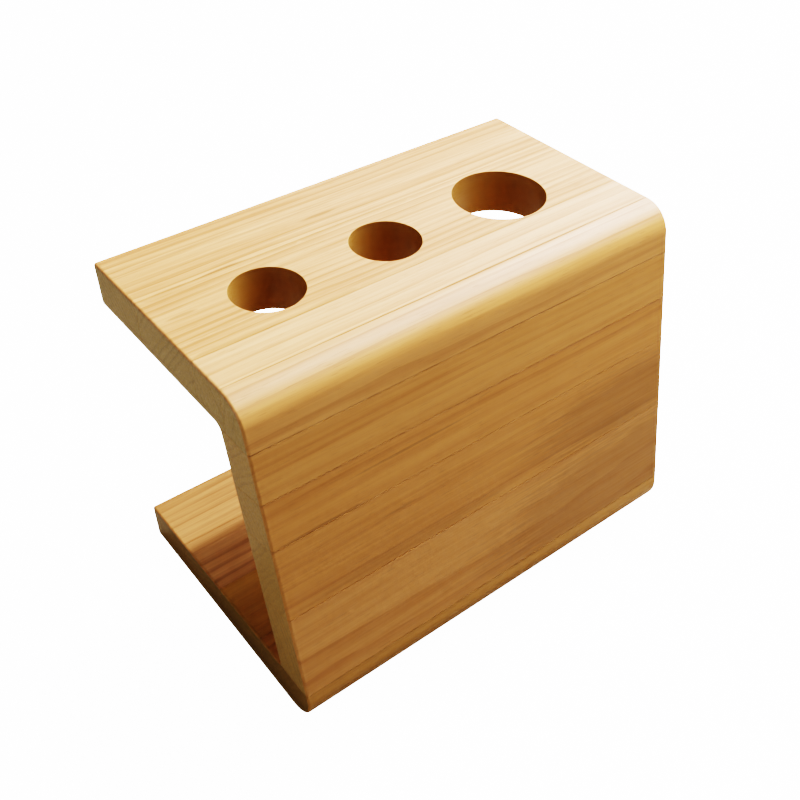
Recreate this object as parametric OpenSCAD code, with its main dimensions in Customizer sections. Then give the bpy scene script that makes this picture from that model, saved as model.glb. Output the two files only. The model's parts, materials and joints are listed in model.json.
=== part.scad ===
// Wooden tool caddy: a C-shaped stand, open at the back.
// A flat base and a flat top board are joined at the front by a leaning panel.
// Each board is glued up from long staves, and hidden dowels hold the two joints.
// +X runs along the length, +Y points to the open back, +Z is up.
// The origin is at the middle of the footprint, on the surface the caddy stands on.

/* [Overall] */
// Length of all three boards, along X
length = 155; // [125:1:220]
// Height from the underside of the base to the top face
height = 116.5; // [90:0.5:160]
// Depth of the top board, from the line where its face meets the panel's plane to its back edge
top_depth = 80; // [64:0.5:120]
// How far the panel's plane comes forward between the top face and the underside
panel_lean = 22; // [6:0.5:30]
// Thickness of every board
board_t = 14.5; // [12:0.5:20]
// Radius of the two long rounded edges at the front, at the top and at the foot
edge_r = 10; // [3:0.5:14]

/* [Tool holes] */
// Diameters of the holes, from left to right
hole_d = [22, 22, 30]; // [12:0.5:36]
// Wood left between two neighbouring holes
hole_gap = 19; // [8:0.5:24]
// Distance of the row of holes behind the line where the top face meets the panel's plane
hole_setback = 38; // [30:0.5:42]
// Width of the eased edge around each hole, above and below
hole_ease = 0.1; // [0.1:0.1:1.5]

/* [Staves] */
// Width of the top board's front stave, behind the line where its face meets the panel's plane
front_stave_w = 8.5; // [6:0.5:12]
// Wood between the largest hole's eased edge and the glue line in front of it
hole_wall_front = 0.4; // [0.2:0.1:3]
// Wood between the largest hole's eased edge and the glue line behind it
hole_wall_back = 0.9; // [0.2:0.1:6]
// Widths of the panel's first three staves, down the slope; the lowest stave takes what is left
panel_stave_w = [15.8, 16, 25.5]; // [10:0.1:28]
// Widths of the base's first three staves, from the line where its underside meets the panel's
// plane; the back stave takes what is left
base_stave_w = [29.5, 25, 24]; // [18:0.5:34]

/* [Dowels] */
// Diameter of a dowel
dowel_d = 6; // [4:0.5:7]
// Depth of a dowel in the top board or in the base, along its axis
dowel_in_board = 8; // [5:0.5:9]
// Depth of a dowel in the panel, along its axis
dowel_in_panel = 17; // [10:0.5:24]
// Distance of the outer dowels from the ends of the boards
dowel_inset = 17.5; // [10:0.5:35]
// Gap between a dowel and the wall of its hole
dowel_side_gap = 0.1; // [0.05:0.05:0.2]
// Room for glue past each end of a dowel
dowel_end_gap = 0.8; // [0.4:0.1:1.2]
// Width of the chamfer around each end of a dowel
dowel_chamfer = 0.6; // [0.2:0.1:1]

/* [Hidden] */
$fn = 96;
// How far a cut runs past the face that it opens
past = 1;

// The panel's plane in the YZ plane: its steepness, and the unit vectors down it and square into it
slope = atan2(height, panel_lean);
down = [-cos(slope), -sin(slope)];
inward = [sin(slope), -cos(slope)];
// A sharp edge becomes round over this length of each face, for the top edge and for the foot
top_tangent = edge_r * tan(slope / 2);
foot_tangent = edge_r / tan(slope / 2);
// Where the rounded foot comes furthest forward, and the middle of the footprint
foot_front = foot_tangent - panel_lean - edge_r;
middle_y = (top_depth + foot_front) / 2;

// Heights of the two joints
upper_joint_z = height - board_t;
lower_joint_z = board_t;
// A board's thickness along the slope, and the panel's width on a level cut: the same length
slant_t = board_t / sin(slope);

// X of the middle of each hole: the row is centred on the length
row_length = hole_d[0] + hole_d[1] + hole_d[2] + 2 * hole_gap;
function run_before(i) = i == 0 ? 0 : run_before(i - 1) + hole_d[i - 1] + hole_gap;
hole_x = [for (i = [0:2]) (length - row_length) / 2 + run_before(i) + hole_d[i] / 2];

// X of the dowels in each joint: left, middle and right
dowel_x = [dowel_inset, length / 2, length - dowel_inset];

// The glue lines of each board: behind the top face's front line, down the panel's plane from
// the top face, and behind the line where the underside meets that plane
eased_reach = max(hole_d) / 2 + hole_ease;
top_lines = [
    front_stave_w,
    hole_setback - eased_reach - hole_wall_front,
    hole_setback + eased_reach + hole_wall_back,
];
function running_sum(widths, i) = widths[i] + (i == 0 ? 0 : running_sum(widths, i - 1));
panel_lines = [for (i = [0:2]) slant_t + running_sum(panel_stave_w, i)];
base_lines = [for (i = [0:2]) running_sum(base_stave_w, i)];

// The glue lines on either side of a stave; the outer staves run on to the end of their board
far = 2 * (length + height + top_depth);
function line_before(lines, i) = i == 0 ? -far : lines[i - 1];
function line_after(lines, i) = i == len(lines) ? far : lines[i];

// ---- Outlines, drawn in the YZ plane with the top face's front line at y = 0 ----

// A point on the panel's plane, at a distance down it from the top face, and a depth behind it
function on_panel(distance, depth) = [0, height] + distance * down + depth * inward;

// What a rounded edge takes off a sharp corner: the kite from the corner to the round's centre,
// less the round itself. The kite reaches past the corner, along the line from the centre.
module corner_waste(corner, tangent_a, tangent_b, centre) {
    difference() {
        polygon([tangent_a, corner + (corner - centre) * past, tangent_b, centre]);
        translate(centre) circle(r = edge_r);
    }
}

// Everything behind the panel's plane, with both long front edges rounded
module side_outline() {
    top_corner = [0, height];
    foot_corner = [-panel_lean, 0];
    difference() {
        polygon([foot_corner, [top_depth, 0], [top_depth, height], top_corner]);
        corner_waste(
            top_corner, top_corner + [top_tangent, 0], top_corner + top_tangent * down,
            top_corner + [top_tangent, -edge_r]
        );
        corner_waste(
            foot_corner, foot_corner + [foot_tangent, 0], foot_corner - foot_tangent * down,
            foot_corner + [foot_tangent, edge_r]
        );
    }
}

// A level band across the outline, between two heights
module band(from_z, to_z) {
    polygon([[-far, from_z], [far, from_z], [far, to_z], [-far, to_z]]);
}

// The part of the outline between two distances back from the line y = start
module slice_back(start, from, to) {
    polygon([[start + from, -far], [start + to, -far], [start + to, far], [start + from, far]]);
}

// The part of the panel's thickness between two distances down its slope
module slice_down(from, to) {
    polygon([
        on_panel(from, -past),
        on_panel(to, -past),
        on_panel(to, board_t),
        on_panel(from, board_t),
    ]);
}

module top_outline() {
    intersection() {
        side_outline();
        band(upper_joint_z, height);
    }
}

module base_outline() {
    intersection() {
        side_outline();
        band(0, lower_joint_z);
    }
}

module panel_outline() {
    intersection() {
        side_outline();
        band(lower_joint_z, upper_joint_z);
    }
}

// ---- Solids ----

// Carries an outline along the full length and puts the footprint's middle at the origin
module along_length() {
    place()
        rotate([90, 0, 90]) linear_extrude(length) children();
}

module place() {
    translate([-length / 2, -middle_y, 0]) children();
}

// The three tool holes, with eased edges above and below
module tool_holes() {
    place()
        for (i = [0:2])
            translate([hole_x[i], hole_setback, upper_joint_z]) {
                r = hole_d[i] / 2;
                translate([0, 0, -past]) cylinder(h = board_t + 2 * past, r = r);
                translate([0, 0, board_t - hole_ease])
                    cylinder(h = 2 * hole_ease, r1 = r, r2 = r + 2 * hole_ease);
                translate([0, 0, -hole_ease])
                    cylinder(h = 2 * hole_ease, r1 = r + 2 * hole_ease, r2 = r);
            }
}

// The middle of the panel's thickness at a height, as a distance behind the top face's front line
function panel_middle(z) = slant_t / 2 - panel_lean * (1 - z / height);

// Puts a shape at a joint, in the middle of the panel, with its +Z running up the slope
module at_joint(x, joint_z) {
    place()
        translate([x, panel_middle(joint_z), joint_z])
            rotate([slope - 90, 0, 0])
                children();
}

// A dowel with chamfered ends, between two places on its own axis
module dowel(from_z, to_z) {
    color("burlywood") {
        r = dowel_d / 2;
        translate([0, 0, from_z]) cylinder(h = dowel_chamfer, r1 = r - dowel_chamfer, r2 = r);
        translate([0, 0, from_z + dowel_chamfer])
            cylinder(h = to_z - from_z - 2 * dowel_chamfer, r = r);
        translate([0, 0, to_z - dowel_chamfer])
            cylinder(h = dowel_chamfer, r1 = r, r2 = r - dowel_chamfer);
    }
}

// The holes for one joint's dowels
module dowel_holes(joint_z, below, above) {
    for (x = dowel_x)
        at_joint(x, joint_z)
            translate([0, 0, -below - dowel_end_gap])
                cylinder(h = below + above + 2 * dowel_end_gap, r = dowel_d / 2 + dowel_side_gap);
}

module upper_dowel_holes() {
    dowel_holes(upper_joint_z, dowel_in_panel, dowel_in_board);
}

module lower_dowel_holes() {
    dowel_holes(lower_joint_z, dowel_in_board, dowel_in_panel);
}

// ---- One stave of each board, by its place in the row ----

module top_stave(i) {
    difference() {
        along_length()
            intersection() {
                top_outline();
                slice_back(0, line_before(top_lines, i), line_after(top_lines, i));
            }
        tool_holes();
        upper_dowel_holes();
    }
}

module panel_stave(i) {
    difference() {
        along_length()
            intersection() {
                panel_outline();
                slice_down(line_before(panel_lines, i), line_after(panel_lines, i));
            }
        upper_dowel_holes();
        lower_dowel_holes();
    }
}

module base_stave(i) {
    difference() {
        along_length()
            intersection() {
                base_outline();
                slice_back(-panel_lean, line_before(base_lines, i), line_after(base_lines, i));
            }
        lower_dowel_holes();
    }
}

// ---- The pieces ----

module top_stave_front() { color("wheat") top_stave(0); }
module top_stave_second() { color("moccasin") top_stave(1); }
module top_stave_middle() { color("wheat") top_stave(2); }
module top_stave_back() { color("navajowhite") top_stave(3); }

module panel_stave_upper() { color("peru") panel_stave(0); }
module panel_stave_second() { color("darkgoldenrod") panel_stave(1); }
module panel_stave_third() { color("peru") panel_stave(2); }
module panel_stave_lower() { color("goldenrod") panel_stave(3); }

module base_stave_front() { color("sienna") base_stave(0); }
module base_stave_second() { color("peru") base_stave(1); }
module base_stave_third() { color("burlywood") base_stave(2); }
module base_stave_back() { color("tan") base_stave(3); }

module upper_dowel(i) {
    at_joint(dowel_x[i], upper_joint_z) dowel(-dowel_in_panel, dowel_in_board);
}

module lower_dowel(i) {
    at_joint(dowel_x[i], lower_joint_z) dowel(-dowel_in_board, dowel_in_panel);
}

top_stave_front();
top_stave_second();
top_stave_middle();
top_stave_back();
panel_stave_upper();
panel_stave_second();
panel_stave_third();
panel_stave_lower();
base_stave_front();
base_stave_second();
base_stave_third();
base_stave_back();
upper_dowel(0);  // upper_dowel_left
upper_dowel(1);  // upper_dowel_middle
upper_dowel(2);  // upper_dowel_right
lower_dowel(0);  // lower_dowel_left
lower_dowel(1);  // lower_dowel_middle
lower_dowel(2);  // lower_dowel_right
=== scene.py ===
# %% [markdown]
# # A wooden tool caddy
# Three boards make a C that is open at the back: a flat base, a leaning front panel and a
# flat top board with three holes for tools. Each board is glued up from four long staves,
# and hidden dowels hold the two joints.
#
# This lesson rebuilds the staves one by one with numpy, gives them softened edges as
# sandpaper would, and then grows a wood for them out of shader nodes.

# %% Load the solid model
import json
import bmesh
import bpy
import numpy as np
from mathutils import Matrix, Vector


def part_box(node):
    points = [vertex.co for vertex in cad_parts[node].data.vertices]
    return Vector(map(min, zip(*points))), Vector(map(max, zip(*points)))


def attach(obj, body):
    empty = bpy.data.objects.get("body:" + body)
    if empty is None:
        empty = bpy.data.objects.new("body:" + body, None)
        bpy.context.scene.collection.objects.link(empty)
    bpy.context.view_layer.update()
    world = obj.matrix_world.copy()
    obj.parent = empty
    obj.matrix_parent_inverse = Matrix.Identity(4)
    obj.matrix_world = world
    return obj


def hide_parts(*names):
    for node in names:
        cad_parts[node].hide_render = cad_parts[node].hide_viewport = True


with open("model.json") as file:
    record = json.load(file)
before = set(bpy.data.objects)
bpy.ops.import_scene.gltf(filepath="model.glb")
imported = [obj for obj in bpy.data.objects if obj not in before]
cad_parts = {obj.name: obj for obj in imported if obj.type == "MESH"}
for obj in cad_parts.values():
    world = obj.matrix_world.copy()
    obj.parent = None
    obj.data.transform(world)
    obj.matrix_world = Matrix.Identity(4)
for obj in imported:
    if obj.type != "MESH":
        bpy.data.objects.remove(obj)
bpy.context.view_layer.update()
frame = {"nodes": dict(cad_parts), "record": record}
MM = 0.001
print("solid parts:", len(frame["nodes"]))

# %% [markdown]
# ## The camera
# The caddy is seen from its front left corner and from above, about 43 degrees over the
# horizon. The lens is a normal one and stands close, so the long edges close in clearly. A
# small vertical shift moves the picture on the sensor, as the rising front of a view camera
# does; turning the camera instead would tilt the uprights further. The camera comes first,
# because every later choice is judged through it. Its place is in metres, and two unit
# vectors say which way the picture's right and its bottom point.
#
# A view transform with high contrast suits pale wood on white: the lit top comes close to
# white without losing its grain, and the shaded side stays rich.

# %% Camera
CAMERA_PLACE = Vector((-0.1553, -0.1934, 0.2719))
CAMERA_RIGHT = Vector((0.7906, -0.6123, 0.0041))
CAMERA_DOWN = Vector((-0.4164, -0.5425, -0.7296))
FOCAL_LENGTH, SENSOR = 44.2, 36.0
SHIFT = (0.0, 0.05)
FORWARD = CAMERA_RIGHT.cross(CAMERA_DOWN)


def add_camera():
    """Looks along right x down. Blender's camera looks along its own -Z with +Y up, so the
    columns of its matrix are right, up and backwards."""
    data = bpy.data.cameras.new("camera")
    data.sensor_width, data.lens = SENSOR, FOCAL_LENGTH
    data.shift_x, data.shift_y = SHIFT
    data.clip_start, data.clip_end = 0.01, 20.0
    camera = bpy.data.objects.new("camera", data)
    axes = Matrix((CAMERA_RIGHT, -CAMERA_DOWN, -FORWARD)).transposed()
    camera.matrix_world = Matrix.Translation(CAMERA_PLACE) @ axes.to_4x4()
    bpy.context.scene.collection.objects.link(camera)
    bpy.context.scene.camera = camera


add_camera()
bpy.context.scene.view_settings.view_transform = "Filmic"
bpy.context.scene.view_settings.look = "Very High Contrast"
print("camera looks along", [round(v, 3) for v in FORWARD])

# %% [markdown]
# ## What the solids say
# Every length below is read from the boxes of the solid parts, so the wood always fits the
# joinery. A stave's cross-section lies in the YZ plane. The panel leans, so its two faces
# are drawn from its highest and lowest points.

# %% Read the sizes
def yz(node):
    """A part's box in the YZ plane: lowest y, lowest z, highest y, highest z."""
    low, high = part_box(node)
    return low.y, low.z, high.y, high.z


TOP = ["top_stave_front", "top_stave_second", "top_stave_middle", "top_stave_back"]
PANEL = ["panel_stave_upper", "panel_stave_second", "panel_stave_third", "panel_stave_lower"]
BASE = ["base_stave_front", "base_stave_second", "base_stave_third", "base_stave_back"]
END_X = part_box(TOP[0])[1].x
TOP_Z, UPPER_JOINT = yz(TOP[0])[3], yz(TOP[0])[1]
LOWER_JOINT = yz(BASE[0])[3]
BACK_Y = yz(TOP[3])[2]
UPPER_FRONT_Y, LOWER_FRONT_Y = yz(TOP[0])[0], yz(PANEL[3])[0]
UPPER_BACK_Y, LOWER_BACK_Y = yz(PANEL[0])[2], LOWER_FRONT_Y + yz(PANEL[0])[2] - UPPER_FRONT_Y
LEAN = np.array([LOWER_FRONT_Y - UPPER_FRONT_Y, LOWER_JOINT - UPPER_JOINT])
DOWN_PANEL = LEAN / np.linalg.norm(LEAN)
INTO_PANEL = np.array([-DOWN_PANEL[1], DOWN_PANEL[0]])
PANEL_THICK = (UPPER_BACK_Y - UPPER_FRONT_Y) * INTO_PANEL[0]
print("board", round((TOP_Z - UPPER_JOINT) / MM, 2), "mm, panel", round(PANEL_THICK / MM, 2), "mm")

# %% [markdown]
# ## Softened edges
# On the real boards nothing is knife-sharp. The two long front edges are rounded over with a
# large cutter, and sandpaper has broken every other edge by about a millimetre. Where two
# staves meet the glue line is a fine groove. A few sizes do all of that, and the grooves are
# what make separate staves readable from a distance.
#
# The boards run flush into each other where they are joined, so the end arris has to fade
# out along the two covered strips; COVERED holds the ends of those strips in the YZ plane.

# %% Edge sizes
ROUND_OVER = 10 * MM
ARRIS = 0.8 * MM
BACK_ARRIS = 1.3 * MM
GROOVE = 0.09 * MM
SEAM_FALL = 0.3 * MM
FOOT_EXTRA = 0.05 * MM
ARRIS_STEPS = 7
ROUND_STEPS = 28
SUPPORTS = np.array([0.2, 0.5, 0.9, 1.4, 2.0]) * MM
COVER_START = 4 * MM
COVERED = tuple(
    (np.array([front + COVER_START, height]), np.array([back, height]))
    for front, back, height in ((UPPER_FRONT_Y, UPPER_BACK_Y, UPPER_JOINT),
                                (LOWER_FRONT_Y, LOWER_BACK_Y, LOWER_JOINT))
)
FADE = 1.6 * MM
SHARP_ANGLE = np.radians(30)
print("arris", ARRIS / MM, "mm, back arris", BACK_ARRIS / MM, "mm, groove", GROOVE / MM, "mm")

# %% [markdown]
# ## A stave's outline
# The outline is a ring of points in the YZ plane, walked anticlockwise as seen from the
# right-hand end. Each point also remembers how it moves when the outline shrinks towards the
# end of the stave: points on an open face slide inwards with the sanded edge, and points on
# a glue face stay where they are until the very last row. Storing that with the point lets
# one formula carry the outline along the whole stave, rounded ends included.

# %% Outline points
def unit(vector):
    """The vector, divided by its length."""
    return vector / np.linalg.norm(vector)


def outward(a, b):
    """The normal that points out of an anticlockwise outline, for its side from a to b."""
    along = unit(b - a)
    return np.array([along[1], -along[0]])


def ring_point(place, shift, glue=(0.0, 0.0), seam=0.0, edge=0.0):
    """place, inward shift for each unit of shrinking, glue shift, seam mark, edge mark."""
    return np.concatenate([place, shift, glue, [seam, edge]])


def rounded_corner(corner, before, after, radius, steps, edge):
    """A circular arc that touches both sides: its centre is where the two sides, moved in by
    the radius, cross. Each arc point shrinks along its own normal."""
    centre = corner - radius * (before + after) / (1 + before @ after)
    turn = np.arctan2(before[0] * after[1] - before[1] * after[0], before @ after)
    angles = np.arctan2(before[1], before[0]) + np.linspace(0, 1, steps + 1) * turn
    normals = np.stack([np.cos(angles), np.sin(angles)], axis=1)
    marks = np.sin(np.linspace(0, np.pi, steps + 1)) * edge
    return [ring_point(centre + radius * n, -n, edge=m) for n, m in zip(normals, marks)]


def grooved_corner(corner, open_normal, glue_normal, open_side, glue_side):
    """A small chamfer between an open face and a glue face. Both its points shrink with the
    open face; the one on the glue side also leaves the glue line in the last row."""
    lean = open_normal @ glue_normal
    glue_move = -(glue_normal - lean * open_normal) / (1 - lean**2)
    open_move = -open_normal - lean * glue_move
    return (
        ring_point(corner + open_side * GROOVE, open_move, seam=1.0),
        ring_point(corner + glue_side * GROOVE, open_move, glue=glue_move, seam=1.0),
    )


print("one arris takes", ARRIS_STEPS, "steps, the round-over", ROUND_STEPS)

# %% [markdown]
# The outline is listed corner by corner. A side is either open (air or a visible face) or
# glued. Two open sides meet in a round edge; an open side and a glued side meet in a groove.

# %% Build an outline
def seam_fade(distance):
    """1 in the groove, falling as a bell curve with the distance from it."""
    return np.exp(-(distance / SEAM_FALL) ** 2)


def side_points(start, end, normal, keep_from, keep_to, spacing):
    """Extra points near both ends of an open side, so that its flat middle stays flat. Their
    seam mark falls off with the distance from the groove."""
    length = np.linalg.norm(end - start)
    near = SUPPORTS[SUPPORTS < length * 0.45]
    stations = np.concatenate([near, length - near[::-1]])
    if spacing:
        inner = np.arange(near[-1] + spacing, length - near[-1] - spacing / 2, spacing)
        stations = np.sort(np.concatenate([stations, inner]))
    fall = np.maximum(seam_fade(stations) * keep_from, seam_fade(length - stations) * keep_to)
    along = unit(end - start)
    return [ring_point(start + along * s, -normal, seam=f) for s, f in zip(stations, fall)]


def outline(corners, spacing=0.0):
    """corners holds (point, kind of the side that follows, radius of this corner). Corner by
    corner, the two sides that meet there decide what is made, and the open sides between
    them get their extra points."""
    count = len(corners)
    spots = [np.array(c[0], float) for c in corners]
    normals = [outward(spots[i], spots[(i + 1) % count]) for i in range(count)]
    ring, corner_rings = [], []
    for i, (_, kind, radius) in enumerate(corners):
        before, after = normals[i - 1], normals[i]
        into, out_of = unit(spots[i - 1] - spots[i]), unit(spots[(i + 1) % count] - spots[i])
        was = corners[i - 1][1]
        if was != kind and before @ after > 0.999:
            made = [ring_point(spots[i], -after)]
        elif was == "open" and kind == "open":
            steps = ROUND_STEPS if radius > BACK_ARRIS else ARRIS_STEPS
            made = rounded_corner(spots[i], before, after, radius, steps, radius <= BACK_ARRIS)
        elif was == "open":
            made = list(grooved_corner(spots[i], before, after, into, out_of))
        elif kind == "open":
            made = list(grooved_corner(spots[i], after, before, out_of, into))[::-1]
        else:
            made = [ring_point(spots[i], np.zeros(2), glue=-(before + after))]
        corner_rings.append(made)
    for i, made in enumerate(corner_rings):
        ring += made
        if corners[i][1] == "open":
            following = corner_rings[(i + 1) % count][0]
            ring += side_points(
                made[-1][:2], following[:2], normals[i], made[-1][6], following[6], spacing
            )
    return np.array(ring)


print("extra points stand", [float(round(v / MM, 2)) for v in SUPPORTS], "mm from a corner")

# %% [markdown]
# ## Carrying the outline along the stave
# The rows near an end follow a quarter circle: while the outline shrinks by r(1 - cos t) it
# moves outwards by r sin t. Beside the joints the boards run flush into each other, so there
# the quarter circle fades to the width of a groove.

# %% Sweep a stave
def arris_width(places):
    """Full arris away from the covered strips, a groove's width on them, smooth between."""
    gaps = []
    for a, b in COVERED:
        t = np.clip((places - a) @ (b - a) / ((b - a) @ (b - a)), 0, 1)
        gaps.append(np.linalg.norm(places - (a + t[:, None] * (b - a)), axis=1))
    fade = np.clip(np.min(gaps, axis=0) / FADE, 0, 1)
    return GROOVE + (ARRIS - GROOVE) * fade**2 * (3 - 2 * fade)


def stave_rows(ring, stations=()):
    """A grid of points: axis 0 runs along the stave, axis 1 round the outline. With t going
    from 0 to a right angle towards the end, a point moves in by width * (1 - cos t) and
    stands width * (1 - sin t) short of the end. A glued point moves in the last row only."""
    angles = np.linspace(0, np.pi / 2, ARRIS_STEPS + 1)
    places, shift, glue = ring[:, 0:2], ring[:, 2:4], ring[:, 4:6]
    width = arris_width(places)
    glued = np.abs(glue).sum(axis=1) > 0
    inset = width[None, :] * (1 - np.cos(angles))[:, None]
    back_off = width[None, :] * (1 - np.sin(angles))[:, None]
    back_off[:-1, glued] = np.maximum(back_off[:-1, glued], GROOVE)
    last = (angles == angles[-1])[:, None, None]
    flat = places[None] + inset[..., None] * shift[None] + last * GROOVE * glue[None]
    right = np.dstack([END_X - back_off, flat])
    left = right[::-1] * np.array([-1, 1, 1])
    middle = np.array(list(stations)).reshape(-1, 1)
    body = np.dstack([np.broadcast_to(middle, (len(middle), len(ring))),
                      np.broadcast_to(places, (len(middle), len(ring), 2))])
    edge = np.repeat(np.sin(2 * angles)[:, None], len(ring), axis=1) * (width / ARRIS)
    edge = np.maximum(edge, ring[:, 7] * np.cos(angles)[:, None])
    ends = np.repeat((1 - np.cos(angles))[:, None] ** 2, len(ring), axis=1)
    still = np.broadcast_to(ring[:, 7], (len(middle), len(ring)))
    here = np.cos(angles) ** 0.5
    marks = {
        "edge": np.concatenate([edge[::-1], still, edge]),
        "end_grain": np.concatenate([ends[::-1], still * 0, ends]),
        "seam": ring[:, 6] * np.concatenate([here[::-1], np.ones(len(middle)), here])[:, None],
    }
    return np.concatenate([left, body, right]), marks


def grid_faces(rows, columns):
    """Quads between neighbouring rows; the columns close into a ring."""
    r, c = np.meshgrid(np.arange(rows - 1), np.arange(columns), indexing="ij")
    d = (c + 1) % columns
    quads = np.stack([r * columns + c, r * columns + d, (r + 1) * columns + d,
                      (r + 1) * columns + c], axis=-1)
    return quads.reshape(-1, 4)


def end_caps(rows, columns):
    """One flat face at each end, so that the surface is closed."""
    return [list(range(columns))[::-1], list(range((rows - 1) * columns, rows * columns))]


print("rows for one stave:", 2 * (ARRIS_STEPS + 1))

# %% [markdown]
# ## From numbers to a mesh
# Flat faces keep flat shading and curved ones are smoothed. A weighted-normal modifier then
# lets the big flat faces win over the slim bevels, which is what makes a sanded edge catch
# one clean line of light.

# %% Make a mesh object
def build_piece(name, points, faces, marks, stands_for):
    """A mesh object at the origin, with its marks as point attributes. It rides on the one
    body and stands for a solid part."""
    mesh = bpy.data.meshes.new(name)
    mesh.from_pydata(points.tolist(), [], [list(map(int, f)) for f in faces])
    for mark, values in marks.items():
        layer = mesh.attributes.new(mark, "FLOAT", "POINT")
        layer.data.foreach_set("value", np.asarray(values, np.float32).ravel())
    mesh.validate()
    mesh.shade_smooth()
    mesh.set_sharp_from_angle(angle=SHARP_ANGLE)
    piece = bpy.data.objects.new(name, mesh)
    bpy.context.scene.collection.objects.link(piece)
    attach(piece, "root")
    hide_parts(stands_for)
    return piece


def weigh_normals(piece):
    """Lets each point's normal follow the largest face that meets there."""
    weighted = piece.modifiers.new("flat faces lead", "WEIGHTED_NORMAL")
    weighted.keep_sharp = True


def make_stave(node, corners):
    """One stave: its outline carried from end to end and closed with two flat end faces."""
    ring = outline(corners)
    grid, marks = stave_rows(ring)
    rows, columns = grid.shape[:2]
    faces = grid_faces(rows, columns).tolist() + end_caps(rows, columns)
    piece = build_piece("wood_" + node, grid.reshape(-1, 3), faces, marks, node)
    print(node, rows, "rows of", columns, "points")
    return piece


print("corners below", round(float(np.degrees(SHARP_ANGLE))), "degrees are shaded smooth")

# %% [markdown]
# ## The panel's staves
# The panel is glued from four staves whose seams run square to its face. Reading the seams
# from the boxes takes one step of geometry: the highest point of a stave lies on the outer
# face, so its height gives the distance down the slope.

# %% Panel
def on_panel(z, depth):
    """The point at height z on the panel's outer plane, moved in by a depth."""
    down_slope = (z - UPPER_JOINT) / DOWN_PANEL[1]
    outer = np.array([UPPER_FRONT_Y, UPPER_JOINT]) + DOWN_PANEL * down_slope
    return outer + INTO_PANEL * depth


panel_seams = [yz(n)[3] for n in PANEL[1:]]
across = [((UPPER_FRONT_Y, UPPER_JOINT), (UPPER_BACK_Y, UPPER_JOINT))]
across += [(on_panel(z, 0), on_panel(z, PANEL_THICK)) for z in panel_seams]
across += [((LOWER_FRONT_Y, LOWER_JOINT), (LOWER_BACK_Y, LOWER_JOINT))]
pieces = {}
for name, (top_front, top_back), (low_front, low_back) in zip(PANEL, across, across[1:]):
    pieces[name] = make_stave(
        name,
        [(low_front, "glued", 0), (low_back, "open", 0), (top_back, "glued", 0),
         (top_front, "open", 0)],
    )

# %% [markdown]
# ## The base's staves
# The front stave carries the rounded foot: the leaning face bends into the underside with
# the same large radius as at the top, a hair larger so that it stays inside the solid. Its
# upper face is covered by the panel for the width of the panel, so the panel's two lower
# edges are listed as points on the way.

# %% Base
base_seams = [yz(n)[2] for n in BASE[:3]]
foot = on_panel(0, 0)
pieces[BASE[0]] = make_stave(
    BASE[0],
    [(foot, "open", ROUND_OVER + FOOT_EXTRA), ((base_seams[0], 0), "glued", 0),
     ((base_seams[0], LOWER_JOINT), "open", 0), ((LOWER_BACK_Y, LOWER_JOINT), "glued", 0),
     ((LOWER_FRONT_Y, LOWER_JOINT), "open", 0)],
)
for i in (1, 2, 3):
    front, back = base_seams[i - 1], BACK_Y if i == 3 else base_seams[i]
    side = "open" if i == 3 else "glued"
    pieces[BASE[i]] = make_stave(
        BASE[i],
        [((front, 0), "open", 0), ((back, 0), side, BACK_ARRIS),
         ((back, LOWER_JOINT), "open", BACK_ARRIS), ((front, LOWER_JOINT), "glued", 0)],
    )

# %% [markdown]
# ## The top board's plain staves
# The front stave has the rounded front edge, and it stands on the panel. The second one
# overhangs the panel by most of its width. The middle one takes the holes and comes next.

# %% Top board, plain staves
top_seams = [yz(n)[2] for n in TOP[:3]]
pieces[TOP[0]] = make_stave(
    TOP[0],
    [((UPPER_FRONT_Y, UPPER_JOINT), "glued", 0), ((top_seams[0], UPPER_JOINT), "glued", 0),
     ((top_seams[0], TOP_Z), "open", 0), (on_panel(TOP_Z, 0), "open", ROUND_OVER)],
)
pieces[TOP[1]] = make_stave(
    TOP[1],
    [((top_seams[0], UPPER_JOINT), "glued", 0), ((UPPER_BACK_Y, UPPER_JOINT), "open", 0),
     ((top_seams[1], UPPER_JOINT), "glued", 0), ((top_seams[1], TOP_Z), "open", 0),
     ((top_seams[0], TOP_Z), "glued", 0)],
)
pieces[TOP[3]] = make_stave(
    TOP[3],
    [((top_seams[2], UPPER_JOINT), "open", 0), ((BACK_Y, UPPER_JOINT), "open", BACK_ARRIS),
     ((BACK_Y, TOP_Z), "open", BACK_ARRIS), ((top_seams[2], TOP_Z), "glued", 0)],
)

# %% [markdown]
# ## The stave with the holes
# Three holes are drilled through the middle stave. A flat face with a round hole is awkward
# for a mesh, so each hole gets its own rectangle of wood, and one continuous sheet runs from
# the rectangle's border in to the rim, over the eased rim, down the wall and out again below.
# Every point of the sheet lies on a straight line from the hole's centre to the border.

# %% Sheet around one hole
HOLE_EASE = 0.1 * MM
HOLE_SPACING = 1.0 * MM
BORES = [m for m in frame["record"]["mounts"] if m["kind"] == "bore"]


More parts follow.
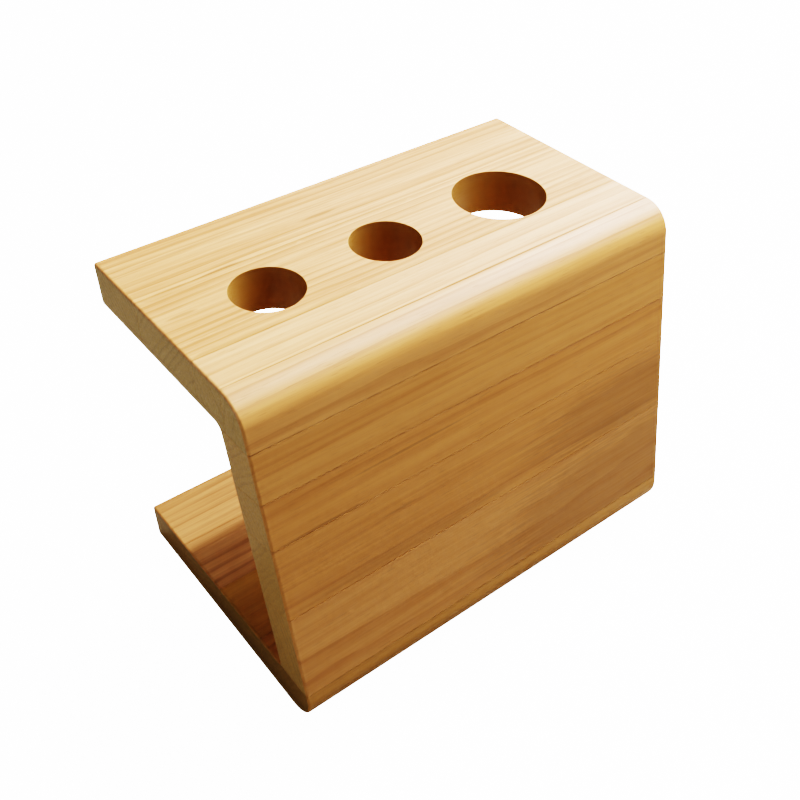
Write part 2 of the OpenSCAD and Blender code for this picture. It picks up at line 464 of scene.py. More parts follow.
def hole_sheet(centre, radius, border):
    """border is the closed rectangle of points in XY. Rows: flat top from border to rim, a
    quarter circle over the rim, the wall, and the same again below, mirrored."""
    out = border - centre
    angles = np.arctan2(out[:, 1], out[:, 0])
    ways = np.stack([np.cos(angles), np.sin(angles)], axis=1)
    reach = np.linalg.norm(out, axis=1)
    rim = radius + HOLE_EASE
    flat = np.array([1.0, 0.75, 0.5, 0.25, 0.1])
    turn = np.linspace(0, np.pi / 2, ARRIS_STEPS + 1)
    flat_reach = rim + (reach[None, :] - rim) * flat[:, None]
    curve = radius + HOLE_EASE * (1 - np.sin(turn))
    wall_reach = np.repeat(np.append(curve, curve[-1])[:, None], len(reach), axis=1)
    half_reach = np.concatenate([flat_reach, wall_reach])
    half_z = np.concatenate([flat * 0, HOLE_EASE * (1 - np.cos(turn)), [3 * HOLE_EASE]])
    spans = np.concatenate([half_reach, half_reach[::-1]])
    heights = np.concatenate([TOP_Z - half_z, UPPER_JOINT + half_z[::-1]])
    flat_xy = centre + ways[None] * spans[..., None]
    z = np.broadcast_to(heights[:, None, None], (*spans.shape, 1))
    half_ease = np.concatenate([flat * 0, np.sin(2 * turn), [0.0]])
    half_depth = np.concatenate([flat * 0, np.sin(turn), [1.0]])
    ease = np.concatenate([half_ease, half_ease[::-1]])[:, None]
    depth = np.concatenate([half_depth, half_depth[::-1]])[:, None]
    marks = {
        "edge": np.repeat(ease, len(reach), axis=1),
        "end_grain": depth * np.cos(angles)[None] ** 2,
        "seam": np.zeros(spans.shape),
        # the bore mark places the painted shade on the hole walls
        "bore": np.repeat(depth, len(reach), axis=1),
    }
    return np.concatenate([flat_xy, z], axis=2), marks


print("hole radii in mm:", [b["dims"]["r_mm"] for b in BORES])

# %% [markdown]
# The stave itself is swept as before, but with a row of points at every millimetre. Its flat
# top and bottom faces between the arrises are then left out, and the three sheets take their
# place. Border and rows share their points, so they can be welded.

# %% Middle stave
def rectangle(xs, ys):
    """The border of a rectangle, anticlockwise, through the given stations."""
    right = [(xs[-1], y) for y in ys[:-1]]
    back = [(x, ys[-1]) for x in xs[:0:-1]]
    left = [(xs[0], y) for y in ys[:0:-1]]
    front = [(x, ys[0]) for x in xs[:-1]]
    return np.array(right + back + left + front)


def make_holed_stave(node):
    """A swept stave whose flat faces are replaced with one sheet for each hole."""
    front, back = yz(node)[0], yz(node)[2]
    ring = outline([((front, UPPER_JOINT), "open", 0), ((back, UPPER_JOINT), "glued", 0),
                    ((back, TOP_Z), "open", 0), ((front, TOP_Z), "glued", 0)], HOLE_SPACING)
    centres = [np.array(b["pos_m"][:2]) for b in BORES]
    radii = [b["dims"]["r_mm"] * MM for b in BORES]
    splits = [-END_X + ARRIS]
    for i in (0, 1):
        splits.append((centres[i][0] + radii[i] + centres[i + 1][0] - radii[i + 1]) / 2)
    splits.append(END_X - ARRIS)
    cells = [np.linspace(a, b, int(round((b - a) / HOLE_SPACING)) + 1)
             for a, b in zip(splits, splits[1:])]
    stations = np.unique(np.round(np.concatenate(cells), 9))[1:-1]
    grid, marks = stave_rows(ring, stations)
    # the swept faces carry no painted hole shade
    marks["bore"] = np.zeros_like(marks["edge"])
    rows, columns = grid.shape[:2]
    faces = grid_faces(rows, columns)
    flat_top = np.isclose(ring[:, 1], TOP_Z)
    flat_low = np.isclose(ring[:, 1], UPPER_JOINT)
    row_of, column_of = faces[:, 0] // columns, faces[:, 0] % columns
    inside = (row_of >= ARRIS_STEPS) & (row_of < rows - 1 - ARRIS_STEPS)
    nxt = (column_of + 1) % columns
    holed = (flat_top[column_of] & flat_top[nxt]) | (flat_low[column_of] & flat_low[nxt])
    faces = faces[~(inside & holed)].tolist() + end_caps(rows, columns)
    points = [grid.reshape(-1, 3)]
    collected = {k: [v.ravel()] for k, v in marks.items()}
    ys = np.sort(ring[flat_top, 0])
    start = len(points[0])
    for centre, radius, xs in zip(centres, radii, cells):
        sheet, sheet_marks = hole_sheet(centre, radius, rectangle(xs, ys))
        border_y = sheet[[0, -1], :, 1]
        near = np.minimum(np.abs(border_y - ys[0]), np.abs(border_y - ys[-1]))
        sheet_marks["seam"][[0, -1]] = seam_fade(near)
        faces += (grid_faces(*sheet.shape[:2]) + start).tolist()
        points.append(sheet.reshape(-1, 3))
        for key, values in sheet_marks.items():
            collected[key].append(np.asarray(values).ravel())
        start += sheet.shape[0] * sheet.shape[1]
    collected = {k: np.concatenate(v) for k, v in collected.items()}
    return build_piece("wood_" + node, np.concatenate(points), faces, collected, node)


pieces[TOP[2]] = make_holed_stave(TOP[2])
print(TOP[2], "points:", len(pieces[TOP[2]].data.vertices))

# %% Weld the sheets to the stave
WELD_DISTANCE = 0.0005 * MM


def weld(piece):
    """Joins the points that two sheets share, and counts the open edges that are left."""
    work = bmesh.new()
    work.from_mesh(piece.data)
    bmesh.ops.remove_doubles(work, verts=work.verts, dist=WELD_DISTANCE)
    open_edges = sum(not e.is_manifold for e in work.edges)
    work.to_mesh(piece.data)
    work.free()
    piece.data.set_sharp_from_angle(angle=SHARP_ANGLE)
    print(piece.name, "open edges after welding:", open_edges)


weld(pieces[TOP[2]])

# %% [markdown]
# ## Dowels
# A joint this thin needs more than glue, so each one hides three dowel pins. A bought pin
# has chamfered ends, and shallow flutes that let the air and the spare glue out of the hole.
# The radius is a function of two parameters, the angle round the pin and the way along it.
# The pins lean with the panel, so UP_SLOPE is their axis.

# %% Dowel pins
DOWEL_CHAMFER = 0.6 * MM
SIDE_GAP, END_GAP = 0.1 * MM, 0.8 * MM
FLUTES, FLUTE_DEPTH = 18, 0.22 * MM
DOWELS = [n for n in sorted(frame["nodes"]) if "dowel" in n]
UP_SLOPE = np.array([0, *-DOWN_PANEL])


def pin_surface(node, spare=0.0, end_spare=0.0, flutes=FLUTE_DEPTH):
    """Radius = plain radius, less the chamfer near an end, less a narrow hollow at each
    flute. The length comes from the pin's box: its height, less what the tilted round ends
    add to it. spare and end_spare make a thicker and a longer twin, for drilling."""
    low, high = (np.array(c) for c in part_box(node))
    radius = (high[0] - low[0]) / 2
    rise = (high[2] - low[2]) - 2 * (radius - DOWEL_CHAMFER) * abs(UP_SLOPE[1])
    half = rise / UP_SLOPE[2] / 2 + end_spare
    radius += spare
    along = half - np.array([0, DOWEL_CHAMFER * 0.5, DOWEL_CHAMFER, 2.0 * MM])
    along = np.concatenate([-along, along[::-1]])
    trim = np.clip(DOWEL_CHAMFER - (half - np.abs(along)), 0, None) * (flutes > 0)
    angles = np.linspace(0, 2 * np.pi, FLUTES * 8, endpoint=False)
    hollow = flutes * (0.5 + 0.5 * np.cos(FLUTES * angles)) ** 3
    r = (radius - trim)[:, None] - hollow[None, :] * (1 - 0.7 * trim / DOWEL_CHAMFER)[:, None]
    side = np.array([1.0, 0, 0])
    up = np.cross(UP_SLOPE, side)
    circle = np.cos(angles)[:, None] * side + np.sin(angles)[:, None] * up
    return (low + high) / 2 + along[:, None, None] * UP_SLOPE + r[..., None] * circle[None]


def pin_faces(rows, columns):
    return grid_faces(rows, columns).tolist() + end_caps(rows, columns)


for name in DOWELS:
    points = pin_surface(name)
    ends = np.zeros(points.shape[:2])
    ends[[0, -1]] = 1.0
    marks = {"end_grain": ends, "edge": ends * 0, "seam": ends * 0}
    faces = pin_faces(*points.shape[:2])
    pieces[name] = build_piece("pin_" + name, points.reshape(-1, 3), faces, marks, name)
print("pins:", len(DOWELS), "each with", FLUTES, "flutes")

# %% [markdown]
# The pins' holes are cut out of the staves with a second, plain pin that is a little larger:
# a tenth of a millimetre all round for glue, and more at the ends. A boolean is the right
# tool here, because the hole crosses the swept surface at a slant. Its result is kept as
# the stave's mesh, so nothing live is left behind.

# %% Drill the dowel holes
def drill(piece, pins):
    """Cuts the pins' plain, slightly larger twins out of a stave and keeps only the result."""
    grids = [pin_surface(n, SIDE_GAP, END_GAP, 0.0) for n in pins]
    rows, columns = grids[0].shape[:2]
    faces = [[i + k * rows * columns for i in f]
             for k in range(len(grids)) for f in pin_faces(rows, columns)]
    mesh = bpy.data.meshes.new("drill")
    mesh.from_pydata(np.concatenate([g.reshape(-1, 3) for g in grids]).tolist(), [], faces)
    tool = bpy.data.objects.new("drill", mesh)
    bpy.context.scene.collection.objects.link(tool)
    cut = piece.modifiers.new("drill", "BOOLEAN")
    cut.object, cut.operation, cut.solver = tool, "DIFFERENCE", "EXACT"
    bpy.context.view_layer.update()
    shaped = piece.evaluated_get(bpy.context.evaluated_depsgraph_get())
    solid = bpy.data.meshes.new_from_object(shaped)
    piece.modifiers.clear()
    piece.data = solid
    solid.set_sharp_from_angle(angle=SHARP_ANGLE)
    bpy.data.objects.remove(tool)
    bpy.data.meshes.remove(mesh)


upper_pins = [n for n in DOWELS if n.startswith("upper")]
lower_pins = [n for n in DOWELS if n.startswith("lower")]
drilled = {name: upper_pins for name in (TOP[0], TOP[1], PANEL[0], PANEL[1])}
drilled.update({name: lower_pins for name in (PANEL[3], BASE[0])})
for name, pins in drilled.items():
    drill(pieces[name], pins)
for piece in pieces.values():
    weigh_normals(piece)
print("drilled staves:", len(drilled))

# %% [markdown]
# ## Node helpers
# A wood is built from many small nodes. A few helpers keep that readable: add() makes a node
# and fills its sockets with values or links, group() makes a group with named sockets, and
# the others are short names for the nodes that come up again and again.

# %% Node helpers
def add(tree, kind, values=None, **settings):
    """Adds a node, applies its settings, and fills or links its inputs."""
    node = tree.nodes.new(kind)
    for key, value in settings.items():
        setattr(node, key, value)
    for key, value in (values or {}).items():
        if isinstance(value, bpy.types.NodeSocket):
            tree.links.new(value, node.inputs[key])
        else:
            node.inputs[key].default_value = value
    return node


def maths(tree, operation, a, b=0.0, c=0.0):
    """One sum with up to three numbers."""
    return add(tree, "ShaderNodeMath", {0: a, 1: b, 2: c}, operation=operation).outputs[0]


def ramp(tree, value, low, high, to_low=0.0, to_high=1.0):
    """A smooth step: to_low below low, to_high above high."""
    values = {"Value": value, "From Min": low, "From Max": high, "To Min": to_low,
              "To Max": to_high}
    return add(tree, "ShaderNodeMapRange", values, interpolation_type="SMOOTHSTEP").outputs[0]


def mix(tree, factor, a, b, kind="MIX"):
    """Blends two colours."""
    values = {0: factor, 6: a, 7: b}
    return add(tree, "ShaderNodeMix", values, data_type="RGBA", blend_type=kind).outputs[2]


def vectors(tree, operation, a, b=(0.0, 0.0, 0.0)):
    """One sum with two vectors."""
    return add(tree, "ShaderNodeVectorMath", {0: a, 1: b}, operation=operation).outputs[0]


def vector_length(tree, a):
    node = add(tree, "ShaderNodeVectorMath", {0: a}, operation="LENGTH")
    return node.outputs["Value"]


def mark(tree, name):
    """A mark that the mesh carries."""
    return add(tree, "ShaderNodeAttribute", attribute_name=name).outputs["Fac"]


def noise(tree, position, size, detail=2.0, roughness=0.5):
    """Noise whose features have the given size in metres along X, Y and Z."""
    place = vectors(tree, "MULTIPLY", position, tuple(1 / s for s in size))
    values = {"Vector": place, "Scale": 1.0, "Detail": detail, "Roughness": roughness}
    return add(tree, "ShaderNodeTexNoise", values).outputs[0]


def group(name, inputs, outputs):
    """A shader node group with named sockets. Returns the group and its two end nodes."""
    tree = bpy.data.node_groups.new(name, "ShaderNodeTree")
    new_socket = tree.interface.new_socket
    for label, kind, default in inputs:
        socket = new_socket(name=label, in_out="INPUT", socket_type="NodeSocket" + kind)
        if default is not None:
            socket.default_value = default
    for label, kind in outputs:
        new_socket(name=label, in_out="OUTPUT", socket_type="NodeSocket" + kind)
    return tree, tree.nodes.new("NodeGroupInput"), tree.nodes.new("NodeGroupOutput")


def place_group(tree, made, values):
    """Puts a group into a material, with its own values."""
    return add(tree, "ShaderNodeGroup", values, node_tree=made)


print("node helpers ready")

# %% [markdown]
# ## Growth rings
# A tree adds one ring a year around its pith. A stave is a small block cut out of that
# cylinder, so the same formula draws straight lines on its faces and arcs on its ends: the
# distance from the pith, divided by a ring's width. The fraction that is left over tells
# pale early wood from the dark line of late wood. A slow noise bends the rings a little,
# and a random value for each ring makes some lines stronger than others.

# %% Growth rings
def make_rings():
    """Years = (distance from the pith in the YZ plane + wave) / ring width. Late wood rises
    over the last two thirds of a year and ends sharply, as it does in a real ring."""
    tree, start, end = group(
        "growth rings",
        [("Position", "Vector", None), ("Pith", "Vector", None), ("Ring width", "Float", 0.0016),
         ("Waviness", "Float", 0.0012)],
        [("Late wood", "Float"), ("Year", "Float")],
    )
    position = start.outputs["Position"]
    away = vectors(tree, "SUBTRACT", position, start.outputs["Pith"])
    distance = vector_length(tree, vectors(tree, "MULTIPLY", away, (0.0, 1.0, 1.0)))
    bend = noise(tree, position, (0.12, 0.02, 0.02), 1.0)
    ripple = maths(tree, "MULTIPLY", noise(tree, position, (0.03, 0.003, 0.003), 2.0), 0.25)
    wave = maths(tree, "MULTIPLY", maths(tree, "ADD", bend, ripple), start.outputs["Waviness"])
    years = maths(tree, "DIVIDE", maths(tree, "ADD", distance, wave), start.outputs["Ring width"])
    part = maths(tree, "FRACT", years)
    whole = maths(tree, "FLOOR", years)
    random = add(tree, "ShaderNodeTexWhiteNoise", {"W": whole}, noise_dimensions="1D")
    year = random.outputs["Value"]
    rise = ramp(tree, part, 0.35, 0.92)
    fall = ramp(tree, part, 0.93, 1.0, 1.0, 0.0)
    strength = ramp(tree, year, 0.1, 0.9, 0.25, 1.0)
    late = maths(tree, "MULTIPLY", maths(tree, "MULTIPLY", rise, fall), strength)
    tree.links.new(late, end.inputs["Late wood"])
    tree.links.new(year, end.inputs["Year"])
    return tree


RINGS = make_rings()
print("group:", RINGS.name)

# %% [markdown]
# ## Fibres, pores and streaks
# Between the rings, wood is a bundle of long thin cells. Noise that is stretched some forty
# times along X gives their fine lines; a wider one gives bands, and a sparse, shorter one
# gives the dark pores. A few longer streaks have a fixed place, because they are marks of
# this very board; a few broad patches on the panel, drawn the same way, are painted light and
# painted shade. A picture of wood could not do this: its lines would not run on from a
# face into the end grain, and here one solid pattern feeds both.

# %% Fibres and pores
def make_fibres():
    """Three noises, each stretched along the stave and each steepened with a ramp."""
    tree, start, end = group(
        "fibres",
        [("Position", "Vector", None)],
        [("Fibres", "Float"), ("Bands", "Float"), ("Pores", "Float")],
    )
    position = start.outputs["Position"]
    fine = noise(tree, position, (0.03, 0.0007, 0.0007), 3.0, 0.6)
    wide = noise(tree, position, (0.09, 0.0032, 0.0032))
    dashes = noise(tree, position, (0.0065, 0.00042, 0.00042), 1.0)
    tree.links.new(ramp(tree, fine, 0.30, 0.70), end.inputs["Fibres"])
    tree.links.new(ramp(tree, wide, 0.32, 0.68), end.inputs["Bands"])
    tree.links.new(ramp(tree, dashes, 0.63, 0.74), end.inputs["Pores"])
    return tree


FIBRES = make_fibres()
print("group:", FIBRES.name)

# %% Placed streaks and painted patches of light and shade
def make_streak_and_painted_light():
    """A soft ellipsoid around a middle: full where the distance, measured in reaches, is
    below about a half, and gone at one. Noise makes its outline ragged."""
    tree, start, end = group(
        "placed streak and painted light",
        [("Position", "Vector", None), ("Middle", "Vector", None), ("Reach", "Vector", None),
         ("Strength", "Float", 0.5)],
        [("Streak", "Float")],
    )
    position = start.outputs["Position"]
    away = vectors(tree, "SUBTRACT", position, start.outputs["Middle"])
    far = vector_length(tree, vectors(tree, "DIVIDE", away, start.outputs["Reach"]))
    ragged = maths(tree, "SUBTRACT", noise(tree, position, (0.012, 0.0007, 0.0007)), 0.5)
    worn = maths(tree, "ADD", far, maths(tree, "MULTIPLY", ragged, 0.9))
    mask = ramp(tree, worn, 0.45, 1.0, 1.0, 0.0)
    tree.links.new(maths(tree, "MULTIPLY", mask, start.outputs["Strength"]), end.inputs["Streak"])
    return tree


STREAK_AND_PAINTED_LIGHT = make_streak_and_painted_light()
print("group:", STREAK_AND_PAINTED_LIGHT.name)

# %% [markdown]
# ## A stave's wood
# One recipe serves every stave, and each gets its own pale and deep tone, its own pith and
# its own streaks, because neighbouring staves come from different planks; some staves also
# get painted patches of light and shade, or a painted sheen. The long faces mix the two tones
# by rings, bands and fibres. The recipe is a stack of layers, each a small function that
# takes the colour so far and returns it changed.

# %% Layers on the long faces
FIBRE_SHARE, BAND_SHARE, YEAR_SHARE = 0.55, 0.6, 0.3


def grain(tree, look, rings, fibres):
    """Pale to deep, by contrast * (late wood + a share of fibres, bands and year)."""
    depth = maths(tree, "MULTIPLY", rings.outputs["Late wood"], look["contrast"])
    for part, share in ((fibres.outputs["Fibres"], FIBRE_SHARE),
                        (fibres.outputs["Bands"], BAND_SHARE),
                        (rings.outputs["Year"], YEAR_SHARE)):
        depth = maths(tree, "MULTIPLY_ADD", part, look["contrast"] * share, depth)
    return mix(tree, depth, (*look["pale"], 1), (*look["deep"], 1))


def add_streaks_and_painted_light(tree, look, position, colour):
    """A streak below zero strength is a pale one. Beside grain streaks, the list holds
    broad patches that are painted light (pale) and painted shade (dark).
    """
    for middle, reach, strength in look.get("streaks_and_painted_light", ()):
        values = {"Position": position, "Middle": middle, "Reach": reach, "Strength": strength}
        streak = place_group(tree, STREAK_AND_PAINTED_LIGHT, values).outputs["Streak"]
        tone = look["mark"] if strength > 0 else look["pale"]
        colour = mix(tree, maths(tree, "ABSOLUTE", streak), colour, (*tone, 1))
    return colour


def paint_sheen(tree, look, position, colour):
    """Painted sheen: multiplies by a paler, bluer tone above a height, a little less
    towards the left end.
    """
    if "painted_sheen" not in look:
        return colour
    low, high, tone = look["painted_sheen"]
    place = add(tree, "ShaderNodeSeparateXYZ", {0: position})
    height = ramp(tree, place.outputs["Z"], low, high)
    side = ramp(tree, place.outputs["X"], -END_X, 0.3 * END_X, 0.6, 1.0)
    return mix(tree, maths(tree, "MULTIPLY", height, side), colour, (*tone, 1), "MULTIPLY")


print("shares of fibres, bands and years:", FIBRE_SHARE, BAND_SHARE, YEAR_SHARE)

# %% [markdown]
# The end faces drink more finish and look darker; the ring pattern shows there by itself,
# because it is a solid pattern. The marks that the meshes carry steer the other three
# layers: hole walls are darkened as painted shade, sanded edges are lighter, glue lines darker.

# %% Layers on ends, holes, edges and seams
END_DARK, END_RINGS, HOLE_PAINTED_SHADE = 0.55, 0.22, 0.95


def marked_places(tree, look, position, moved, late, end_mark, colour):
    """End grain, painted shade on the hole walls, worn edges and glue lines, in that order."""
    dots = ramp(tree, noise(tree, moved, (0.02, 0.0006, 0.0006)), 0.35, 0.7, 0.0, 0.35)
    end_depth = maths(tree, "MULTIPLY_ADD", late, END_RINGS, dots)
    end_deep = tuple(c * END_DARK for c in look["end"])
    end_tone = mix(tree, end_depth, (*look["end"], 1), (*end_deep, 1))
    colour = mix(tree, maths(tree, "MULTIPLY", end_mark, look["end_amount"]), colour, end_tone)
    # Painted shade: the hole walls are pulled towards the darker bore tone, for the shade inside
    # the holes.
    bore = maths(tree, "MULTIPLY", mark(tree, "bore"), HOLE_PAINTED_SHADE)
    colour = mix(tree, bore, colour, (*look["bore"], 1))
    patches = ramp(tree, noise(tree, position, (0.01, 0.002, 0.002)), 0.4, 0.7, 0.35, 0.7)
    worn = maths(tree, "MULTIPLY", mark(tree, "edge"), patches)
    colour = mix(tree, worn, colour, (*look["pale"], 1))
    uneven = noise(tree, position, (0.03, 0.01, 0.01))
    glue = ramp(tree, uneven, 0.3, 0.7, 0.5 * look["seam"], 1.4 * look["seam"])
    line = maths(tree, "MULTIPLY", mark(tree, "seam"), glue)
    return mix(tree, line, colour, (*look["mark"], 1))


print("a hole's wall takes", HOLE_PAINTED_SHADE, "of its own tone")

# %% Wood recipe
RELIEF = 0.00003


def wood(name, look):
    """look holds tones, pith, ring width, contrast, streaks with painted patches of light and
    shade, a painted sheen and the varnish's strength.
    """
    material = bpy.data.materials.new(name)
    material.use_nodes = True
    tree = material.node_tree
    tree.nodes.clear()
    position = add(tree, "ShaderNodeTexCoord").outputs["Object"]
    moved = vectors(tree, "ADD", position, look["offset"])
    rings = place_group(tree, RINGS, {"Position": moved, "Pith": look["pith"],
                                      "Ring width": look["ring"], "Waviness": look["wave"]})
    fibres = place_group(tree, FIBRES, {"Position": moved})
    late = rings.outputs["Late wood"]
    fine, pores = fibres.outputs["Fibres"], fibres.outputs["Pores"]
    colour = grain(tree, look, rings, fibres)
    colour = add_streaks_and_painted_light(tree, look, position, colour)
    colour = paint_sheen(tree, look, position, colour)
    colour = mix(tree, maths(tree, "MULTIPLY", pores, look["pores"]), colour, (*look["mark"], 1))
    end_mark = mark(tree, "end_grain")
    colour = marked_places(tree, look, position, moved, late, end_mark, colour)
    relief = maths(tree, "MULTIPLY_ADD", pores, -1.0, fine)
    relief = maths(tree, "MULTIPLY_ADD", late, 0.6, relief)
    bump = add(tree, "ShaderNodeBump", {"Height": relief, "Strength": 0.35, "Distance": RELIEF})
    dull = maths(tree, "MULTIPLY_ADD", end_mark, 0.5, fine)
    rough = ramp(tree, dull, 0.0, 1.5, 0.40, 0.62)
    shader = add(tree, "ShaderNodeBsdfPrincipled", {
        "Base Color": colour, "Roughness": rough, "Normal": bump.outputs[0],
        "Coat Weight": look["varnish"], "Coat Roughness": 0.22, "Coat IOR": 1.5,
        "Specular IOR Level": 0.35,
    })
    add(tree, "ShaderNodeOutputMaterial", {"Surface": shader.outputs[0]})
    return material


print("grain relief in mm:", RELIEF / MM)

# %% [markdown]
# ## Streaks that belong to this board, and painted patches
# Distances are in millimetres: from the left end, and from the line where the plane of the
# top meets the plane of the panel, either back over the top or down the panel's slope. The
# broad patches on the panel's right half are painted light and painted shade.

# %% Places for streaks
STREAK_DEPTH = 20 * MM


def on_top(x, y, half_length, half_width, strength):
    """A streak on the top board, y behind the front line."""
    place = (-END_X + x * MM, on_panel(TOP_Z, 0)[0] + y * MM, TOP_Z)
    return place, (half_length * MM, half_width * MM, STREAK_DEPTH), strength


def on_front(x, s, half_length, half_width, strength):
    """A streak on the panel, s down the slope. It also places the broad painted patches of
    light and shade.
    """
    place = on_panel(TOP_Z, 0) + DOWN_PANEL * s * MM
    reach = (half_length * MM, STREAK_DEPTH, half_width * MM)
    return (-END_X + x * MM, *place), reach, strength


print("front line at y =", round(on_panel(TOP_Z, 0)[0] / MM, 2), "mm")

# %% [markdown]
# ## Tones for each board
# All the wood is one golden family, and a look is made from another by changing only what
# differs. The top is cream in front and honey behind, and its upper face carries a painted
# sheen, paler and bluer where the lights shine on it; the base's lit open part carries a
# weaker painted sheen. The panel is amber, and the base under it is darker; its stave in the
# top's shadow is darkest, as painted shade. A painted-sheen entry gives two heights in metres
# and a factor for each colour.

# %% Tones
GOLD = dict(pale=(0.68, 0.350, 0.128), deep=(0.50, 0.232, 0.073), mark=(0.30, 0.135, 0.038),
            # bore is a darker tone, used as painted shade on the hole walls
            bore=(0.37, 0.198, 0.056), end=(0.58, 0.40, 0.185), ring=0.0022, wave=0.004,
            contrast=0.42, pores=0.25, seam=0.35, end_amount=0.9, varnish=0.3)
# Painted sheen: the lit upper faces of the top and the base turn paler and bluer, as the light and
# the window's sheen make them look.
TOP_PAINTED_SHEEN = (TOP_Z - 5 * MM, TOP_Z - 0.3 * MM, (1.08, 1.14, 1.75))
BASE_PAINTED_SHEEN = (LOWER_JOINT - 3 * MM, LOWER_JOINT - 1 * MM, (0.84, 0.92, 1.25))
CREAM = dict(GOLD, pale=(0.70, 0.362, 0.134), deep=(0.47, 0.212, 0.068), contrast=0.48,
             end=(0.50, 0.36, 0.145), painted_sheen=TOP_PAINTED_SHEEN)
HONEY = dict(CREAM, pale=(0.70, 0.345, 0.120), deep=(0.42, 0.182, 0.054), contrast=0.56)
AMBER = dict(GOLD, pale=(0.64, 0.308, 0.098), deep=(0.46, 0.194, 0.054), end=(0.58, 0.385, 0.155))
FOOT = dict(AMBER, pale=(0.60, 0.305, 0.092), deep=(0.43, 0.200, 0.052), end=(0.36, 0.22, 0.08))
# Painted shade: the base stave in the top's shadow gets a darker, less blue tone than the lit
# staves behind it.
SHADED = dict(FOOT, pale=(0.56, 0.296, 0.080), deep=(0.40, 0.196, 0.046))
BACK_BASE = dict(HONEY, painted_sheen=BASE_PAINTED_SHEEN, end=FOOT["end"])
PIN = dict(GOLD, pale=(0.72, 0.50, 0.28), deep=(0.58, 0.38, 0.19), varnish=0.0)
print("the top's pale tone:", CREAM["pale"], "the panel's:", AMBER["pale"])

# %% Looks of the staves
LOOKS = {
    TOP[0]: dict(CREAM, pith=(0, -0.30, 0.02), offset=(0.3, 0.0, 0.0), seam=0.7, streaks_and_painted_light=[
        on_top(96, 8.4, 62, 0.45, 0.55)]),
    TOP[1]: dict(CREAM, pith=(0, 0.22, -0.05), offset=(0.9, 0.0, 0.0), seam=0.7, streaks_and_painted_light=[
        on_top(96, 8.6, 62, 0.45, 0.55), on_top(60, 14, 40, 0.5, 0.25),
        on_top(110, 18, 30, 0.5, 0.2)]),
    TOP[2]: dict(HONEY, pith=(0, -0.25, -0.10), offset=(1.7, 0.0, 0.0), streaks_and_painted_light=[
        on_top(8, 41.4, 6, 0.8, 0.6), on_top(20, 30, 20, 0.6, 0.35),
        on_top(75, 44, 30, 0.6, 0.35)]),
    TOP[3]: dict(HONEY, pith=(0, 0.28, -0.12), offset=(2.3, 0.0, 0.0), streaks_and_painted_light=[
        on_top(27, 54.2, 10, 0.9, 0.9), on_top(66, 62.2, 9, 0.9, 0.8),
        on_top(60, 58.9, 32, 0.6, 0.45), on_top(110, 66.0, 40, 0.7, 0.3),
        on_top(25, 70.0, 22, 0.7, 0.4), on_top(10, 54.2, 8, 0.6, 0.4),
        on_top(50, 67.0, 30, 0.7, 0.45)]),
    PANEL[0]: dict(AMBER, pale=(0.65, 0.328, 0.110), pith=(0, 0.20, 0.30),
                   offset=(3.1, 0.0, 0.0), seam=0.12, streaks_and_painted_light=[
        # painted light: the first, broad pale patch lightens the upper right of the panel, where
        # more light falls; the thin pale line after it is grain
        on_front(120, 22, 60, 9, -0.35), on_front(142, 24.5, 12, 0.7, -0.6)]),
    PANEL[1]: dict(AMBER, pith=(0, 0.25, -0.16), offset=(4.9, 0.0, 0.0), seam=0.3, streaks_and_painted_light=[
        on_front(50, 36.2, 27, 0.6, 0.5), on_front(17, 46.0, 20, 0.6, 0.5)]),
    PANEL[2]: dict(AMBER, pith=(0, 0.30, 0.28), offset=(5.3, 0.0, 0.0), contrast=0.5,
                   seam=0.12, streaks_and_painted_light=[
        # painted shade: the first, broad dark patch darkens the middle of the panel's right half;
        # the thinner marks are grain
        on_front(140, 62, 60, 16, 0.5), on_front(42, 55, 9, 0.6, 0.4),
        on_front(106, 55, 8, 0.6, 0.4), on_front(45, 69.5, 48, 3.2, 0.3),
        on_front(134, 67.5, 22, 2.4, 0.3)]),
    PANEL[3]: dict(AMBER, pale=(0.67, 0.335, 0.12), pith=(0, 0.34, -0.14),
                   offset=(6.7, 0.0, 0.0), contrast=0.4, seam=0.1, streaks_and_painted_light=[
        # painted shade: a broad dark patch over the lower right of the panel, where less light
        # falls
        on_front(140, 95, 85, 32, 0.5)]),
}
for i, (name, look) in enumerate(zip(BASE, (FOOT, SHADED, BACK_BASE, BACK_BASE))):
    pith = (0, -0.2 + 0.15 * i, 0.2 * (-1) ** i)
    LOOKS[name] = dict(look, pith=pith, offset=(8.0 + i, 0.0, 0.0))
for name in DOWELS:
    LOOKS[name] = dict(PIN, pith=(0, 0.06, 0.2), offset=(12.0, 0.0, 0.0))
print("looks:", len(LOOKS))

# %% Give every piece its wood
made = {}
for name, piece in pieces.items():
    key = "dowel" if name in DOWELS else name
    if key not in made:
        made[key] = wood("wood " + key.replace("_", " "), LOOKS[name])
    piece.data.materials.clear()
    piece.data.materials.append(made[key])
print("woods:", len(made))

# %% [markdown]
# ## Floor and light
# The floor is a plain pale sheet. Towards the camera it glows white, as a light table does,
# so that the caddy stands on a clean ground. For every other ray it is a dull warm tone,
# because a white floor would throw too much light up under the top.

# %% Floor
FLOOR_REACH = 4
FLOOR_TONE = (0.30, 0.25, 0.19)
FLOOR_GLOW = 9.0


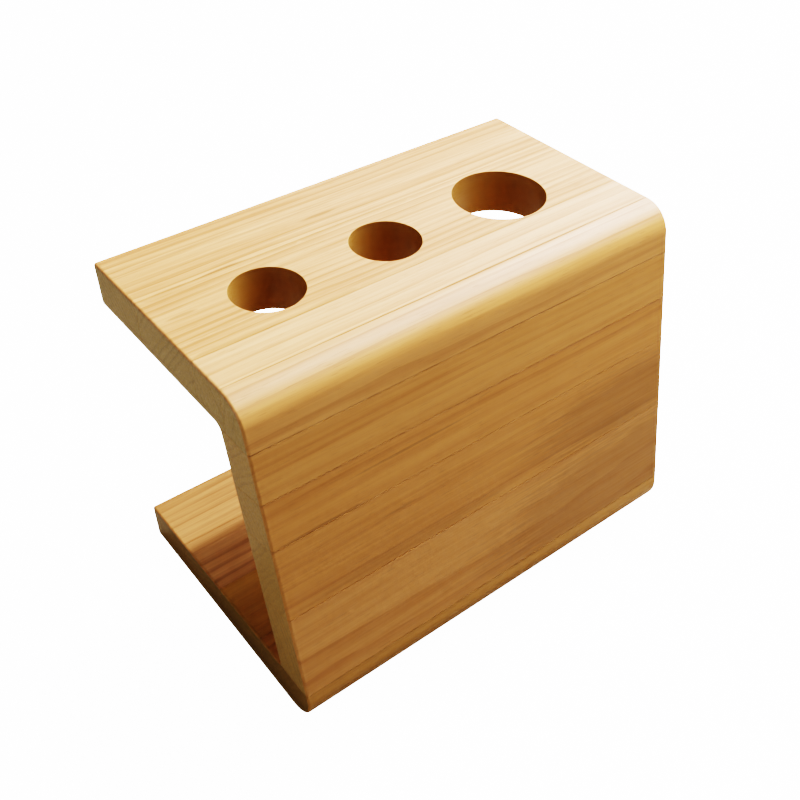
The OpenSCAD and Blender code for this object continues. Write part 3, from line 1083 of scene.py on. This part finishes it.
def make_floor():
    """One square with two materials in one: what the camera sees, and what the light meets."""
    mesh = bpy.data.meshes.new("floor")
    signs = ((-1, -1), (1, -1), (1, 1), (-1, 1))
    corners = [(x * FLOOR_REACH, y * FLOOR_REACH, 0) for x, y in signs]
    mesh.from_pydata(corners, [], [(0, 1, 2, 3)])
    floor = bpy.data.objects.new("floor", mesh)
    bpy.context.scene.collection.objects.link(floor)
    material = bpy.data.materials.new("pale floor")
    material.use_nodes = True
    tree = material.node_tree
    tree.nodes.clear()
    seen = add(tree, "ShaderNodeLightPath").outputs["Is Camera Ray"]
    matt = add(tree, "ShaderNodeBsdfDiffuse", {"Color": (*FLOOR_TONE, 1)})
    bright = add(tree, "ShaderNodeBsdfDiffuse", {"Color": (0.8, 0.8, 0.8, 1)})
    glow = add(tree, "ShaderNodeEmission", {"Color": (1, 1, 1, 1), "Strength": FLOOR_GLOW})
    pale = add(tree, "ShaderNodeAddShader", {0: bright.outputs[0], 1: glow.outputs[0]})
    both = add(tree, "ShaderNodeMixShader", {0: seen, 1: matt.outputs[0], 2: pale.outputs[0]})
    add(tree, "ShaderNodeOutputMaterial", {"Surface": both.outputs[0]})
    mesh.materials.append(material)


make_floor()
print("floor tone", FLOOR_TONE)

# %% [markdown]
# A high key light from behind the right end lights the top and leaves the panel in half
# shade. A window and a strip beside it draw the soft highlight along the front round-over.
# The smaller lamps fill the rest. A lamp that would leave a highlight in the wrong place is
# hidden from glossy rays, so it lights the wood like a lamp behind a large cloth.

# %% Light
def add_light(kind, name, place, shines=True, **settings):
    """A lamp at a place, turned towards the caddy's middle. Without shines it leaves no
    highlight."""
    lamp = bpy.data.lights.new(name, kind)
    for key, value in settings.items():
        setattr(lamp, key, value)
    thing = bpy.data.objects.new(name, lamp)
    thing.visible_glossy = shines
    way = Vector(place) - Vector((0, 0, TOP_Z / 2))
    turn = way.to_track_quat("Z", "Y").to_matrix().to_4x4()
    thing.matrix_world = Matrix.Translation(place) @ turn
    bpy.context.scene.collection.objects.link(thing)


def make_world(tone, strength):
    """Faint warm air that lights the wood, and plain white where the camera sees past it."""
    world = bpy.data.worlds.new("studio")
    world.use_nodes = True
    tree = world.node_tree
    tree.nodes.clear()
    seen = add(tree, "ShaderNodeLightPath").outputs["Is Camera Ray"]
    air = add(tree, "ShaderNodeBackground", {"Color": (*tone, 1), "Strength": strength})
    white = add(tree, "ShaderNodeBackground", {"Color": (1, 1, 1, 1), "Strength": BACKDROP_GLOW})
    both = add(tree, "ShaderNodeMixShader", {0: seen, 1: air.outputs[0], 2: white.outputs[0]})
    add(tree, "ShaderNodeOutputWorld", {"Surface": both.outputs[0]})
    bpy.context.scene.world = world


BACKDROP_GLOW = 20.0
KEY_WAY = (0.5, 0.28, 1.0)
add_light("SUN", "key", KEY_WAY, shines=False, energy=3.1, angle=np.radians(4))
add_light("AREA", "window", (0.86, 0.22, 0.70), energy=9.6, size=0.6)
add_light("AREA", "strip", (0.80, -0.12, 0.62), energy=1.6, size=0.35)
add_light("AREA", "near box", (0.15, -0.05, 0.40), shines=False, energy=1.86, size=0.2)
add_light("AREA", "far box", (0.3, 0.0, 1.2), shines=False, energy=0.45, size=0.6)
add_light("AREA", "front panel light", (0.5, -1.0, 0.35), shines=False, energy=0.3, size=0.6)
add_light("AREA", "left panel light", (-1.1, -0.15, 0.14), energy=2.0, size=0.4)
make_world((1.0, 0.95, 0.9), 0.01)
key_height = np.degrees(np.arctan2(KEY_WAY[2], np.hypot(*KEY_WAY[:2])))
print("key light stands", round(float(key_height), 1), "degrees up")
